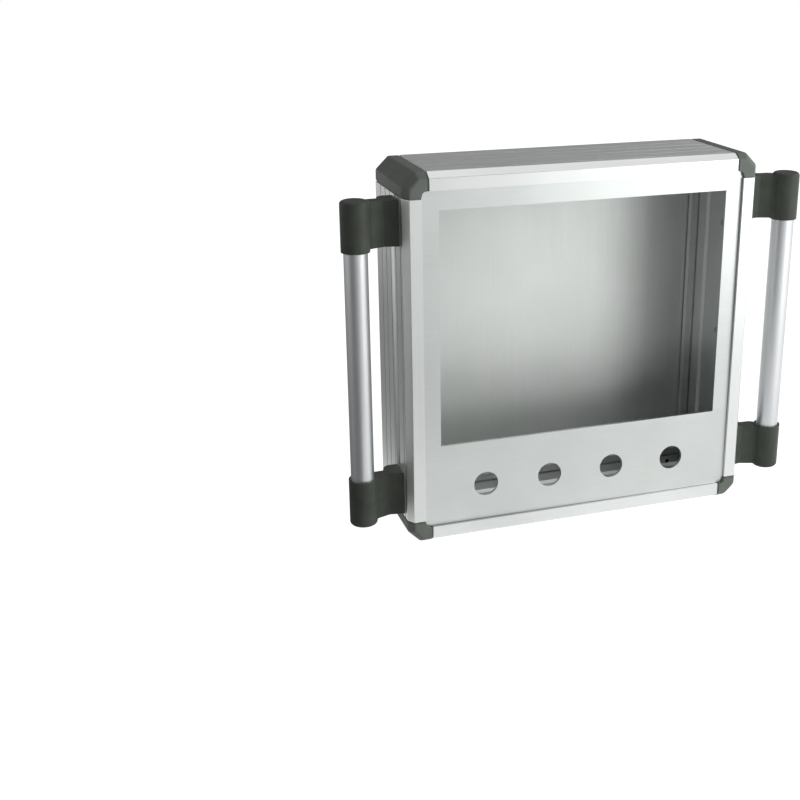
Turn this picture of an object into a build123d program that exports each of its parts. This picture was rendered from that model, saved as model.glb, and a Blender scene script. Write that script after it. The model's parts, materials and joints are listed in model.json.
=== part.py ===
"""Touch screen enclosure: a framed box for an operator panel, with a grab handle on each side.

Four lengths of one extruded section are joined by four cast corner pieces into a frame.
A plate with the screen cut-out and a row of push-button holes is let into the front.
A hinged door with two quarter-turn latches closes the back.

Millimetres. X runs to the right, Y from the front to the back, Z up.
The origin is at the middle of the underside. Across a wall, "t" is measured inwards from
the frame's outer face, and "depth" is measured backwards from the front rim.
"""
from build123d import *
import os
from math import sqrt

# Frame
BOX_WIDTH = 322.0
BOX_HEIGHT = 326.0
BOX_DEPTH = 90.0
WALL = 3.0

# Front rim of the extruded section
BEVEL_ACROSS = 4.6
BEVEL_DEPTH = 7.0
RIM_INNER = 15.0
RIM_DEPTH = 14.0
RIM_SKIN = 2.5
PLATE_RECESS = 3.0
SEAT_WIDTH = 5.5
SEAT_THICKNESS = 2.5

# Shallow decorative grooves along the outer faces
GROOVE_COUNT = 5
GROOVE_FIRST = 13.0
GROOVE_PITCH = 15.0
GROOVE_WIDTH = 1.8
GROOVE_DEPTH = 0.7

# Rear rail of the extruded section
RAIL_INNER = 21.0
RAIL_DEPTH = 6.0
LAND_WIDTH = 12.0
LAND_STEP = 4.0
LAND_SKIN = 2.5
RAIL_GUSSET = 2.3
SLOT_FROM_FACE = 14.0
SLOT_WIDTH = 2.0
SLOT_DEPTH = 3.5

# Corner pieces
CORNER_LEG = 20.0
CORNER_CUT = 11.0
CORNER_WEB = 19.0
CORNER_ROUND = 4.0
JOINT_GAP = 1.3
JOINT_INSET = 1.1
TONGUE_LENGTH = 26.0
TONGUE_CLEARANCE = 0.2

# Front plate
PLATE_THICKNESS = 2.5
PLATE_CLEARANCE = 0.25
SCREEN_FROM_SIDE = 30.0
SCREEN_FROM_TOP = 31.6
SCREEN_FROM_BOTTOM = 88.4
BUTTON_DIAMETER = 22.3
BUTTON_PITCH = 60.0
BUTTON_COUNT = 4
BUTTON_HEIGHT = 48.0
GASKET_THICKNESS = 1.0
GASKET_MARGIN = 0.3

# Clamps that hold the plate from behind
STUD_DIAMETER = 4.0
STUD_FROM_FACE = 23.4
STUD_LENGTH = 9.5
CLAMPS_PER_SIDE = 3
CLAMP_SPACING = 100.0
CLAMP_WIDTH = 14.0
CLAMP_THICKNESS = 2.5
CLAMP_FOOT = 1.2
CLAMP_REACH = 16.2
CLAMP_HOLE_CLEARANCE = 0.2
NUT_FLATS = 7.0
NUT_HEIGHT = 3.2

# Set screws that lock the corner tongues
SET_SCREW_DIAMETER = 4.0
SET_SCREW_INSET = 12.0
SET_SCREW_FROM_FACE = 7.5
SET_SCREW_CLEARANCE = 0.05

# Rear door
DOOR_THICKNESS = 2.5
DOOR_CLEARANCE = 1.0
DOOR_CORNER_RADIUS = 3.0
DOOR_GASKET_WIDTH = 6.0
DOOR_GASKET_INSET = 1.2

# Hinges
HINGE_LENGTH = 50.0
HINGE_FROM_END = 68.0
HINGE_AXIS_FROM_FACE = 12.5
BARREL_DIAMETER = 7.0
BARREL_CLEARANCE = 0.5
LEAF_THICKNESS = 1.5
FRAME_LEAF_MARGIN = 1.0
DOOR_LEAF_WIDTH = 22.0
KNUCKLE_GAP = 0.3
PIN_DIAMETER = 3.5
PIN_CLEARANCE = 0.05
PIN_HEAD_DIAMETER = 5.5
PIN_HEAD_HEIGHT = 1.5
HINGE_SCREW_DIAMETER = 4.0
HINGE_SCREW_HEAD = 5.6
HINGE_SCREW_SPACING = 32.0
HINGE_SCREW_LENGTH = 3.4
FRAME_SCREW_FROM_FACE = 5.0
DOOR_SCREW_FROM_AXIS = 14.0

# Quarter-turn latches
LATCH_FROM_FACE = 38.0
LATCH_FROM_MIDDLE = 80.0
LATCH_FLANGE_DIAMETER = 24.0
LATCH_FLANGE_HEIGHT = 2.0
LATCH_BODY_DIAMETER = 18.0
LATCH_BODY_CLEARANCE = 0.2
LATCH_NUT_FLATS = 24.0
LATCH_NUT_HEIGHT = 4.0
LATCH_CORE_DIAMETER = 12.0
LATCH_CORE_CLEARANCE = 0.05
LATCH_HEAD_DIAMETER = 15.0
LATCH_HEAD_HEIGHT = 3.0
LATCH_HEAD_SUNK = 0.4
LATCH_SLOT_WIDTH = 2.5
LATCH_SLOT_DEPTH = 1.8
LATCH_SHANK = 8.0
CAM_LENGTH = 22.0
CAM_WIDTH = 14.0
CAM_THICKNESS = 2.5
CAM_RAIL_GAP = 0.3
CAM_FIT = 0.05
CAM_SCREW_HEAD = 10.0
CAM_SCREW_HEAD_HEIGHT = 2.5
CAM_SCREW_DIAMETER = 5.0
CAM_SCREW_LENGTH = 8.0

# Handles
TUBE_DIAMETER = 20.0
TUBE_WALL = 2.0
TUBE_OFFSET = 36.7
TUBE_DEPTH = 15.5
SOCKET_DIAMETER = 24.0
SOCKET_HEIGHT = 42.0
SOCKET_FLOOR = 3.5
SOCKET_ROUND = 3.0
SOCKET_CLEARANCE = 0.05
BRACKET_FROM_END = 21.3
BASE_FRONT = 16.2
BASE_BACK = 39.0
BASE_OUT = 14.2
BASE_ROUND = 7.0
NECK_OPEN_INSET = 1.0
NECK_CLOSED_INSET = 2.2
NECK_VALLEY = (12.2, 18.6)
NECK_FRONT = (23.5, 14.6)
NECK_BACK = (25.2, 28.8)
NECK_BACK_ROOT = 29.4
SOCKET_FRONT_END = (27.5, 9.5)
SOCKET_BACK_END = (31.0, 24.2)
NECK_ROUND = 4.0
NECK_ROOT_ROUND = 2.5
BRACKET_EDGE_ROUND = 1.2
HANDLE_SCREW_DIAMETER = 5.0
HANDLE_SCREW_CLEARANCE = 0.1
HANDLE_SCREW_HEAD = 9.0
HANDLE_SCREW_HEAD_HEIGHT = 3.0
HANDLE_SCREW_HEAD_CHAMFER = 0.6
HANDLE_SCREW_GRIP = 11.0
HANDLE_SCREW_SPACING = 20.0
HANDLE_SCREW_DEPTH = 27.0
TUBE_SCREW_LENGTH = 3.8

# Depths worked out from the sizes above
SEAT_DEPTH = PLATE_RECESS + PLATE_THICKNESS + GASKET_THICKNESS
SEAT_INNER = RIM_INNER + SEAT_WIDTH
RAIL_BACK = BOX_DEPTH - LAND_STEP
RAIL_FRONT = RAIL_BACK - RAIL_DEPTH
DOOR_FRONT = BOX_DEPTH - DOOR_THICKNESS
FRAME_END = CORNER_LEG + JOINT_GAP
DOOR_FROM_FACE = LAND_WIDTH + DOOR_CLEARANCE
HINGE_AXIS_DEPTH = BOX_DEPTH + BARREL_CLEARANCE + BARREL_DIAMETER / 2


def at_depth(depth):
    """Y of a depth behind the front rim."""
    return depth - BOX_DEPTH / 2


def side_plane(side, start):
    """Plane across one side of the frame, start mm along it: X is t, Y is depth, Z is along."""
    half_width = BOX_WIDTH / 2
    front = at_depth(0)
    planes = {
        "left": Plane(origin=(-half_width, front, start), x_dir=(1, 0, 0), z_dir=(0, 0, 1)),
        "top": Plane(origin=(-half_width + start, front, BOX_HEIGHT), x_dir=(0, 0, -1), z_dir=(1, 0, 0)),
        "right": Plane(origin=(half_width, front, BOX_HEIGHT - start), x_dir=(-1, 0, 0), z_dir=(0, 0, -1)),
        "bottom": Plane(origin=(half_width - start, front, 0), x_dir=(0, 0, 1), z_dir=(-1, 0, 0)),
    }
    return planes[side]


def side_length(side):
    """Overall length of one side of the frame."""
    return BOX_WIDTH if side in ("top", "bottom") else BOX_HEIGHT


def front_disc(radius, x, z, depth, length):
    """Round bar along Y, from a depth backwards."""
    plane = Plane(origin=(x, at_depth(depth), z), x_dir=(1, 0, 0), z_dir=(0, 1, 0))
    return extrude(plane * Circle(radius), amount=length)


def front_prism(sketch, depth, length):
    """Prism along Y of a sketch drawn in X and Z, from a depth backwards."""
    plane = Plane(origin=(0, at_depth(depth), 0), x_dir=(1, 0, 0), z_dir=(0, -1, 0))
    return extrude(plane * sketch, amount=-length)


def frame_rectangle(inset, radius=0.0):
    """Rectangle in X and Z that lies inset mm inside the frame's outer faces."""
    width = BOX_WIDTH - 2 * inset
    height = BOX_HEIGHT - 2 * inset
    shape = RectangleRounded(width, height, radius) if radius else Rectangle(width, height)
    return Pos(0, BOX_HEIGHT / 2) * shape


def ring(outer, inner, depth, length, radius=0.0):
    """Flat rectangular ring between two insets."""
    return front_prism(frame_rectangle(outer, radius) - frame_rectangle(inner), depth, length)


def solid_section():
    """Outline of the frame section, without grooves and chambers."""
    return make_face(
        Polyline(
            (0, BEVEL_DEPTH),
            (BEVEL_ACROSS, 0),
            (RIM_INNER, 0),
            (RIM_INNER, SEAT_DEPTH),
            (SEAT_INNER, SEAT_DEPTH),
            (SEAT_INNER, SEAT_DEPTH + SEAT_THICKNESS),
            (RIM_INNER, SEAT_DEPTH + SEAT_THICKNESS),
            (RIM_INNER, RIM_DEPTH),
            (WALL, RIM_DEPTH),
            (WALL, RAIL_FRONT - RAIL_GUSSET),
            (WALL + RAIL_GUSSET, RAIL_FRONT),
            (RAIL_INNER, RAIL_FRONT),
            (RAIL_INNER, RAIL_BACK),
            (LAND_WIDTH, RAIL_BACK),
            (LAND_WIDTH, BOX_DEPTH),
            (0, BOX_DEPTH),
            close=True,
        )
    )


def front_chamber(clearance=0.0):
    """Hollow of the front rim, which takes a corner tongue."""
    near = RIM_SKIN + clearance
    corner = BEVEL_ACROSS + clearance
    return make_face(
        Polyline(
            (corner + RIM_SKIN / 2, near),
            (RIM_INNER - near, near),
            (RIM_INNER - near, RIM_DEPTH - near),
            (near, RIM_DEPTH - near),
            (near, BEVEL_DEPTH + RIM_SKIN / 2 + clearance),
            close=True,
        )
    )


def rear_chamber(clearance=0.0):
    """Hollow behind the rear land, which takes a corner tongue."""
    width = LAND_WIDTH - WALL - LAND_SKIN - 2 * clearance
    depth = BOX_DEPTH - RAIL_FRONT - 2 * LAND_SKIN - 2 * clearance
    centre = (WALL + (LAND_WIDTH - WALL - LAND_SKIN) / 2, (RAIL_FRONT + BOX_DEPTH) / 2)
    return Pos(*centre) * Rectangle(width, depth)


def extruded_section():
    """Full section of a frame length: outline, grooves, inner slot and chambers."""
    section = solid_section()
    for index in range(GROOVE_COUNT):
        depth = GROOVE_FIRST + index * GROOVE_PITCH
        section -= Pos(0, depth) * Rectangle(2 * GROOVE_DEPTH, GROOVE_WIDTH)
    slot_middle = RAIL_FRONT + SLOT_DEPTH / 2
    section -= Pos(SLOT_FROM_FACE, slot_middle) * Rectangle(SLOT_WIDTH, SLOT_DEPTH)
    return section - front_chamber() - rear_chamber()


def set_screw_places(side):
    """Distances along a side at which the tongues are locked, one near each end."""
    return (FRAME_END + SET_SCREW_INSET, side_length(side) - FRAME_END - SET_SCREW_INSET)


def bracket_heights():
    """Heights of the middles of the lower and the upper handle bracket."""
    lower = BRACKET_FROM_END + SOCKET_HEIGHT / 2
    return (lower, BOX_HEIGHT - lower)


def handle_screw_heights():
    """Heights of the screws that hold the handle brackets of one side."""
    half = HANDLE_SCREW_SPACING / 2
    return [middle + offset for middle in bracket_heights() for offset in (-half, half)]


def frame_length(side):
    """One extruded length of the frame, drilled for its screws."""
    length = side_length(side) - 2 * FRAME_END
    body = extrude(side_plane(side, FRAME_END) * extruded_section(), amount=length)
    for place in set_screw_places(side):
        across = side_plane(side, place)
        for start, reach in (
            (RIM_DEPTH - RIM_SKIN, RIM_SKIN),
            (RAIL_FRONT, LAND_SKIN),
        ):
            hole = Cylinder(SET_SCREW_DIAMETER / 2 + SET_SCREW_CLEARANCE, reach, rotation=(90, 0, 0))
            body -= across * Pos(SET_SCREW_FROM_FACE, start + reach / 2, 0) * hole
    if side in ("left", "right"):
        sign = -1 if side == "left" else 1
        radius = HANDLE_SCREW_DIAMETER / 2 + HANDLE_SCREW_CLEARANCE
        for height in handle_screw_heights():
            hole = Cylinder(radius, 2 * WALL, rotation=(0, 90, 0))
            body -= Pos(sign * (BOX_WIDTH - WALL) / 2, at_depth(HANDLE_SCREW_DEPTH), height) * hole
    if side == "right":
        for x, z in hinge_screw_places(FRAME_SCREW_FROM_FACE):
            body -= front_disc(HINGE_SCREW_DIAMETER / 2, x, z, BOX_DEPTH - LAND_SKIN, LAND_SKIN)
    return body


def hinge_heights():
    """Heights of the middles of the lower and the upper hinge."""
    return (HINGE_FROM_END, BOX_HEIGHT - HINGE_FROM_END)


def hinge_screw_places(from_face):
    """X and Z of the hinge screws in one leaf of both hinges."""
    x = BOX_WIDTH / 2 - from_face
    half = HINGE_SCREW_SPACING / 2
    return [(x, middle + offset) for middle in hinge_heights() for offset in (-half, half)]


def outer_octagon(inset):
    """Frame outline in X and Z with its corners cut, moved inwards by inset."""
    half_width = BOX_WIDTH / 2 - inset
    low = inset
    high = BOX_HEIGHT - inset
    cut = CORNER_CUT + (sqrt(2) - 2) * inset
    corners = [
        (-half_width + cut, low),
        (half_width - cut, low),
        (half_width, low + cut),
        (half_width, high - cut),
        (half_width - cut, high),
        (-half_width + cut, high),
        (-half_width, high - cut),
        (-half_width, low + cut),
    ]
    return make_face(Polyline(*corners, close=True))


def outer_envelope():
    """Everything inside the frame's outer faces, corner facets and front bevel."""
    front = Plane(origin=(0, at_depth(0), 0), x_dir=(1, 0, 0), z_dir=(0, -1, 0))
    bevel_back = front.offset(-BEVEL_DEPTH)
    bevel = loft([bevel_back * outer_octagon(0), front * outer_octagon(BEVEL_ACROSS)])
    return bevel + front_prism(outer_octagon(0), BEVEL_DEPTH, BOX_DEPTH - BEVEL_DEPTH)


def corner_piece(before, after):
    """Cast corner between the end of one side and the start of the next."""
    x_sign = 1 if "right" in (before, after) else -1
    top = "top" in (before, after)
    corner_x = x_sign * BOX_WIDTH / 2
    corner_z = BOX_HEIGHT if top else 0.0
    inward_z = -1 if top else 1

    def corner_outline(points):
        """Face in X and Z from distances inwards of the two outer faces."""
        placed = [(corner_x - x_sign * a, corner_z + inward_z * b) for a, b in points]
        return make_face(Polyline(*placed, close=True))

    leg = CORNER_LEG
    body = None
    for side, start in ((before, side_length(before) - leg), (after, 0.0)):
        vertical = side in ("left", "right")
        arm = extrude(side_plane(side, start) * solid_section(), amount=leg)
        mitre = [(0, 0), (leg, leg), (0, leg)] if vertical else [(0, 0), (leg, leg), (leg, 0)]
        arm = arm & front_prism(corner_outline(mitre), 0, BOX_DEPTH)
        body = arm if body is None else body + arm
    web = corner_outline([(0, 0), (CORNER_WEB, 0), (0, CORNER_WEB)])
    body += front_prism(web, 0, BOX_DEPTH)
    rounded = Pos(0, BOX_HEIGHT / 2) * RectangleRounded(
        BOX_WIDTH - 2 * RIM_INNER, BOX_HEIGHT - 2 * RIM_INNER, CORNER_ROUND
    )
    leg_square = corner_outline([(0, 0), (leg, 0), (leg, leg), (0, leg)])
    body += front_prism(leg_square - rounded, 0, SEAT_DEPTH)
    body = body & outer_envelope()
    for side, start, step in (
        (before, side_length(before) - leg, -1),
        (after, leg, 1),
    ):
        plane = side_plane(side, start)
        neck = offset(solid_section(), -JOINT_INSET)
        body += extrude(plane * neck, amount=step * JOINT_GAP)
        for chamber in (front_chamber(TONGUE_CLEARANCE), rear_chamber(TONGUE_CLEARANCE)):
            body += extrude(plane * chamber, amount=step * (JOINT_GAP + TONGUE_LENGTH))
    return body


def button_positions():
    """X of each push-button hole."""
    first = -(BUTTON_COUNT - 1) * BUTTON_PITCH / 2
    return [first + index * BUTTON_PITCH for index in range(BUTTON_COUNT)]


def clamp_positions():
    """Side and distance along it of each stud on the plate's back."""
    places = []
    for side in ("left", "top", "right", "bottom"):
        middle = side_length(side) / 2
        for index in range(CLAMPS_PER_SIDE):
            along = middle + (index - (CLAMPS_PER_SIDE - 1) / 2) * CLAMP_SPACING
            places.append((side, along))
    return places


def front_plate():
    """Front plate with the screen cut-out, the button holes and the studs welded to its back."""
    outline = frame_rectangle(RIM_INNER + PLATE_CLEARANCE, CORNER_ROUND)
    screen_width = BOX_WIDTH - 2 * SCREEN_FROM_SIDE
    screen_height = BOX_HEIGHT - SCREEN_FROM_TOP - SCREEN_FROM_BOTTOM
    outline -= Pos(0, SCREEN_FROM_BOTTOM + screen_height / 2) * Rectangle(screen_width, screen_height)
    for x in button_positions():
        outline -= Pos(x, BUTTON_HEIGHT) * Circle(BUTTON_DIAMETER / 2)
    body = front_prism(outline, PLATE_RECESS, PLATE_THICKNESS)
    back = PLATE_RECESS + PLATE_THICKNESS
    for side, along in clamp_positions():
        stud = Cylinder(STUD_DIAMETER / 2, STUD_LENGTH, rotation=(90, 0, 0))
        body += side_plane(side, along) * Pos(STUD_FROM_FACE, back + STUD_LENGTH / 2, 0) * stud
    return body


def front_gasket():
    """Flat seal between the front plate and the seat behind it."""
    outer = RIM_INNER + GASKET_MARGIN
    inner = SEAT_INNER - GASKET_MARGIN
    return ring(outer, inner, PLATE_RECESS + PLATE_THICKNESS, GASKET_THICKNESS, CORNER_ROUND)


def plate_clamp(side, along):
    """Claw that hooks behind the seat, with a foot that bears on the plate's back."""
    back = PLATE_RECESS + PLATE_THICKNESS
    seat_back = SEAT_DEPTH + SEAT_THICKNESS
    foot_start = STUD_FROM_FACE + STUD_DIAMETER / 2 + CLAMP_HOLE_CLEARANCE
    end = foot_start + CLAMP_FOOT
    outline = make_face(
        Polyline(
            (CLAMP_REACH, seat_back),
            (foot_start, seat_back),
            (foot_start, back),
            (end, back),
            (end, seat_back + CLAMP_THICKNESS),
            (CLAMP_REACH, seat_back + CLAMP_THICKNESS),
            close=True,
        )
    )
    body = extrude(outline, amount=CLAMP_WIDTH / 2, both=True)
    radius = STUD_DIAMETER / 2 + CLAMP_HOLE_CLEARANCE
    hole = Cylinder(radius, 2 * CLAMP_WIDTH, rotation=(90, 0, 0))
    return side_plane(side, along) * (body - Pos(STUD_FROM_FACE, back, 0) * hole)


def clamp_nut(side, along):
    """Hexagon nut on a plate stud."""
    start = SEAT_DEPTH + SEAT_THICKNESS + CLAMP_THICKNESS
    outline = RegularPolygon(NUT_FLATS / sqrt(3), 6) - Circle(STUD_DIAMETER / 2)
    across = Plane(origin=(STUD_FROM_FACE, start, 0), x_dir=(0, 0, 1), z_dir=(0, 1, 0))
    return side_plane(side, along) * extrude(across * outline, amount=NUT_HEIGHT)


def set_screw(side, along, start, length):
    """Headless screw in a frame wall, its point against a corner tongue."""
    body = Cylinder(SET_SCREW_DIAMETER / 2, length, rotation=(90, 0, 0))
    return side_plane(side, along) * Pos(SET_SCREW_FROM_FACE, start + length / 2, 0) * body


def set_screws():
    """All set screws of the front and the rear tongues."""
    sides = ("left", "top", "right", "bottom")
    front_start = RIM_DEPTH - RIM_SKIN - TONGUE_CLEARANCE
    rear_length = LAND_SKIN + TONGUE_CLEARANCE
    front = []
    rear = []
    for side in sides:
        for place in set_screw_places(side):
            front.append(set_screw(side, place, front_start, RIM_SKIN + TONGUE_CLEARANCE))
            rear.append(set_screw(side, place, RAIL_FRONT, rear_length))
    return front, rear


def rear_door():
    """Door leaf: a flat plate with holes for the latches and for the hinge screws."""
    outline = frame_rectangle(DOOR_FROM_FACE, DOOR_CORNER_RADIUS)
    for z in latch_heights():
        outline -= Pos(latch_x(), z) * Circle(LATCH_BODY_DIAMETER / 2 + LATCH_BODY_CLEARANCE)
    body = front_prism(outline, DOOR_FRONT, DOOR_THICKNESS)
    depth = HINGE_SCREW_LENGTH - LEAF_THICKNESS
    for x, z in hinge_screw_places(HINGE_AXIS_FROM_FACE + DOOR_SCREW_FROM_AXIS):
        body -= front_disc(HINGE_SCREW_DIAMETER / 2, x, z, BOX_DEPTH - depth, depth)
    return body


def door_gasket():
    """Seal on the door's inner face, which meets the back of the frame's rail."""
    outer = DOOR_FROM_FACE + DOOR_GASKET_INSET
    return ring(outer, outer + DOOR_GASKET_WIDTH, RAIL_BACK, DOOR_FRONT - RAIL_BACK, DOOR_CORNER_RADIUS)


def hinge_axis_x():
    """X of the hinge axis, close to the right-hand side."""
    return BOX_WIDTH / 2 - HINGE_AXIS_FROM_FACE


def barrel(z_low, z_high, radius):
    """Upright cylinder on the hinge axis."""
    plane = Plane(origin=(hinge_axis_x(), at_depth(HINGE_AXIS_DEPTH), z_low))
    return extrude(plane * Circle(radius), amount=z_high - z_low)


def hinge_leaf(middle, x_near, x_far, knuckles, screw_from_face):
    """One leaf of a hinge: a plate, its knuckles and its countersunk screw holes."""
    low = middle - HINGE_LENGTH / 2
    plate = Pos((x_near + x_far) / 2, middle) * Rectangle(abs(x_far - x_near), HINGE_LENGTH)
    body = front_prism(plate, BOX_DEPTH, LEAF_THICKNESS)
    body -= barrel(low, low + HINGE_LENGTH, BARREL_DIAMETER / 2 + KNUCKLE_GAP)
    x_strap = x_near + BARREL_DIAMETER * (1 if x_far > x_near else -1)
    for start, end in knuckles:
        strap = Pos((x_near + x_strap) / 2, (start + end) / 2) * Rectangle(BARREL_DIAMETER, end - start)
        body += front_prism(strap, BOX_DEPTH, LEAF_THICKNESS)
        body += barrel(start, end, BARREL_DIAMETER / 2)
    body -= barrel(low, low + HINGE_LENGTH, PIN_DIAMETER / 2 + PIN_CLEARANCE)
    for x, z in hinge_screw_places(screw_from_face):
        if low < z < low + HINGE_LENGTH:
            body -= hinge_screw(x, z)
    return body


def hinge_screw(x, z):
    """Countersunk screw in a hinge leaf."""
    shank_end = BOX_DEPTH + LEAF_THICKNESS
    body = front_disc(HINGE_SCREW_DIAMETER / 2, x, z, shank_end - HINGE_SCREW_LENGTH, HINGE_SCREW_LENGTH)
    height = (HINGE_SCREW_HEAD - HINGE_SCREW_DIAMETER) / 2
    plane = Plane(origin=(x, at_depth(shank_end - height / 2), z), x_dir=(1, 0, 0), z_dir=(0, 1, 0))
    return body + plane * Cone(HINGE_SCREW_DIAMETER / 2, HINGE_SCREW_HEAD / 2, height)


def hinge(middle):
    """Frame leaf, door leaf and pin of one three-knuckle hinge."""
    low = middle - HINGE_LENGTH / 2
    high = middle + HINGE_LENGTH / 2
    third = HINGE_LENGTH / 3
    axis_x = hinge_axis_x()
    half_gap = KNUCKLE_GAP / 2
    frame_leaf = hinge_leaf(
        middle,
        axis_x + BARREL_CLEARANCE,
        BOX_WIDTH / 2 - FRAME_LEAF_MARGIN,
        [(low + third + half_gap, high - third - half_gap)],
        FRAME_SCREW_FROM_FACE,
    )
    door_leaf = hinge_leaf(
        middle,
        axis_x - BARREL_CLEARANCE,
        axis_x - DOOR_LEAF_WIDTH,
        [(low, low + third - half_gap), (high - third + half_gap, high)],
        HINGE_AXIS_FROM_FACE + DOOR_SCREW_FROM_AXIS,
    )
    head_low = low - KNUCKLE_GAP - PIN_HEAD_HEIGHT
    pin = barrel(head_low, high + KNUCKLE_GAP, PIN_DIAMETER / 2)
    pin += barrel(head_low, low - KNUCKLE_GAP, PIN_HEAD_DIAMETER / 2)
    pin += barrel(high + KNUCKLE_GAP, high + KNUCKLE_GAP + PIN_HEAD_HEIGHT, PIN_HEAD_DIAMETER / 2)
    return frame_leaf, door_leaf, pin


def latch_x():
    """X of the latches, close to the left-hand side."""
    return -BOX_WIDTH / 2 + LATCH_FROM_FACE


def latch_heights():
    """Heights of the lower and the upper latch."""
    middle = BOX_HEIGHT / 2
    return (middle - LATCH_FROM_MIDDLE, middle + LATCH_FROM_MIDDLE)


def latch_housing(z):
    """Threaded sleeve of a latch, with the flange that lies on the door's outer face."""
    x = latch_x()
    inner_end = RAIL_FRONT - CAM_RAIL_GAP
    flange_back = BOX_DEPTH + LATCH_FLANGE_HEIGHT
    body = front_disc(LATCH_BODY_DIAMETER / 2, x, z, inner_end, flange_back - inner_end)
    body += front_disc(LATCH_FLANGE_DIAMETER / 2, x, z, BOX_DEPTH, LATCH_FLANGE_HEIGHT)
    core_radius = LATCH_CORE_DIAMETER / 2 + LATCH_CORE_CLEARANCE
    body -= front_disc(core_radius, x, z, inner_end, flange_back - inner_end)
    pocket = LATCH_HEAD_SUNK + LATCH_HEAD_HEIGHT
    head_radius = LATCH_HEAD_DIAMETER / 2 + LATCH_CORE_CLEARANCE
    return body - front_disc(head_radius, x, z, flange_back - pocket, pocket)


def latch_nut(z):
    """Hexagon nut that clamps a latch housing to the door from inside."""
    x = latch_x()
    outline = RegularPolygon(LATCH_NUT_FLATS / sqrt(3), 6) - Circle(LATCH_BODY_DIAMETER / 2)
    return front_prism(Pos(x, z) * outline, DOOR_FRONT - LATCH_NUT_HEIGHT, LATCH_NUT_HEIGHT)


def latch_core(z):
    """Turning core with a slot for a key outside and a square shank for the cam inside."""
    x = latch_x()
    head_back = BOX_DEPTH + LATCH_FLANGE_HEIGHT - LATCH_HEAD_SUNK
    inner_end = RAIL_FRONT - CAM_RAIL_GAP
    body = front_disc(LATCH_CORE_DIAMETER / 2, x, z, inner_end, head_back - inner_end)
    head_front = head_back - LATCH_HEAD_HEIGHT
    body += front_disc(LATCH_HEAD_DIAMETER / 2, x, z, head_front, LATCH_HEAD_HEIGHT)
    shank = Pos(x, z) * Rectangle(LATCH_SHANK, LATCH_SHANK)
    body += front_prism(shank, inner_end - CAM_THICKNESS, CAM_THICKNESS)
    slot = Pos(x, z) * Rectangle(LATCH_HEAD_DIAMETER, LATCH_SLOT_WIDTH)
    body -= front_prism(slot, head_back - LATCH_SLOT_DEPTH, LATCH_SLOT_DEPTH)
    hole_start = inner_end - CAM_THICKNESS
    return body - front_disc(CAM_SCREW_DIAMETER / 2, x, z, hole_start, CAM_SCREW_LENGTH)


def latch_cam(z):
    """Flat cam on the shank; it points up when open and turns behind the rail to lock."""
    half = CAM_WIDTH / 2
    x = latch_x()
    arm = Pos(x, z + CAM_LENGTH / 2) * Rectangle(CAM_WIDTH, CAM_LENGTH)
    outline = arm + Pos(x, z) * Circle(half)
    square = LATCH_SHANK + 2 * CAM_FIT
    outline -= Pos(x, z) * Rectangle(square, square)
    start = RAIL_FRONT - CAM_RAIL_GAP - CAM_THICKNESS
    return front_prism(outline, start, CAM_THICKNESS)


def cam_screw(z):
    """Screw that holds the cam on its shank."""
    x = latch_x()
    seat = RAIL_FRONT - CAM_RAIL_GAP - CAM_THICKNESS
    head = front_disc(CAM_SCREW_HEAD / 2, x, z, seat - CAM_SCREW_HEAD_HEIGHT, CAM_SCREW_HEAD_HEIGHT)
    return head + front_disc(CAM_SCREW_DIAMETER / 2, x, z, seat, CAM_SCREW_LENGTH)


def handle_sign(side):
    """Direction in X in which a side's handle stands out."""
    return -1 if side == "left" else 1


def tube_x(side):
    """X of a handle tube's axis."""
    return handle_sign(side) * (BOX_WIDTH / 2 + TUBE_OFFSET)


def handle_tube(side):
    """Round grip tube, its ends seated in the bracket sockets."""
    low = BRACKET_FROM_END + SOCKET_FLOOR
    high = BOX_HEIGHT - low
    plane = Plane(origin=(tube_x(side), at_depth(TUBE_DEPTH), low))
    radius = TUBE_DIAMETER / 2
    body = extrude(plane * (Circle(radius) - Circle(radius - TUBE_WALL)), amount=high - low)
    for height in bracket_heights():
        body -= tube_screw(side, height)
    return body


def rounded_corner(face, corner, radius):
    """Flat face with the corner nearest to a point rounded."""
    return fillet(face.vertices().sort_by_distance((*corner, 0))[0], radius)


def bracket_outline():
    """Base block and neck of a bracket, drawn as distance outwards and depth."""
    root = (BASE_OUT, NECK_BACK_ROOT)
    shoulder = (BASE_OUT, BASE_BACK)
    face = make_face(
        Polyline(
            (0, BASE_FRONT),
            NECK_VALLEY,
            NECK_FRONT,
            SOCKET_FRONT_END,
            SOCKET_BACK_END,
            NECK_BACK,
            root,
            shoulder,
            (0, BASE_BACK),
            close=True,
        )
    )
    face = rounded_corner(face, NECK_VALLEY, NECK_ROUND)
    face = rounded_corner(face, NECK_FRONT, NECK_ROUND)
    face = rounded_corner(face, NECK_BACK, NECK_ROUND)
    face = rounded_corner(face, root, NECK_ROOT_ROUND)
    return rounded_corner(face, shoulder, BASE_ROUND)


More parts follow.
